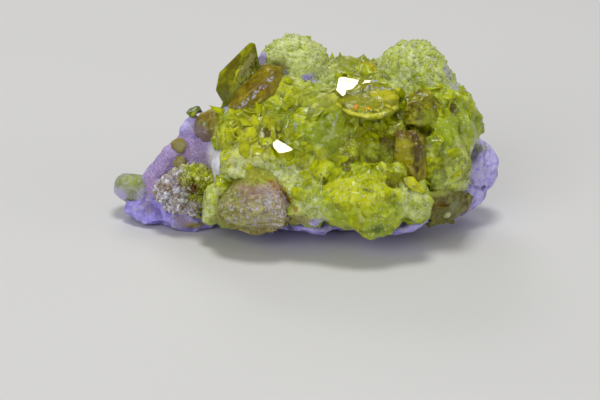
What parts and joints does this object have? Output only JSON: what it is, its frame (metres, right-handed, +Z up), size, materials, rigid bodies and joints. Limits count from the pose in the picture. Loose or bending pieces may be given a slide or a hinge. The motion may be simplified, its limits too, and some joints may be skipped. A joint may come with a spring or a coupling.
{
  "type": "jouravskite crystal specimen",
  "caption": "Small mineral specimen for display: yellow-green crystals grown together in frosted domes, with a standing wedge and a clear lens, on a pale lilac matrix rock with a flat base.",
  "frame": {"origin": "middle of the bounding box at the flat base of the rock", "axes": "+X along the specimen towards its bare end, -Y out of the side with the belly of the mass, +Z up"},
  "size_m": [0.0302, 0.0163, 0.0144],
  "materials": {
    "matrix": "powdery pale lilac rock with a fine fibrous grain, mauve and sugary on the shoulder",
    "jouravskite": "translucent yellow-green crystals, frosted on the domes and glassy in the hollows",
    "clear_jouravskite": "clear olive-yellow crystal with polished natural faces",
    "brown_crystal": "translucent orange-brown crystal with fine striations",
    "ochre_crystal": "dull ochre, waxy",
    "druse": "sparkling small crystals, pinkish white to olive",
    "nodule": "pale yellow-green, powdery, whiter towards the tip",
    "green_crystal": "dark green, glassy"
  },
  "bodies": {
    "root": {"matrix_rock": "matrix", "jouravskite_mass": "jouravskite", "blade_crystal": "clear_jouravskite", "leaf_crystal": "brown_crystal", "lens_crystal": "clear_jouravskite", "olive_crystal": "clear_jouravskite", "brown_dome": "brown_crystal", "cavity_crystal": "brown_crystal", "tongue_crystal": "clear_jouravskite", "foot_crystal": "clear_jouravskite", "ochre_crystal": "ochre_crystal", "tail_druse": "druse", "tail_nodule": "nodule", "knob_crystal": "green_crystal", "ochre_spot_1": "ochre_crystal", "ochre_spot_2": "ochre_crystal", "ochre_spot_3": "ochre_crystal"}
  },
  "joints": []
}
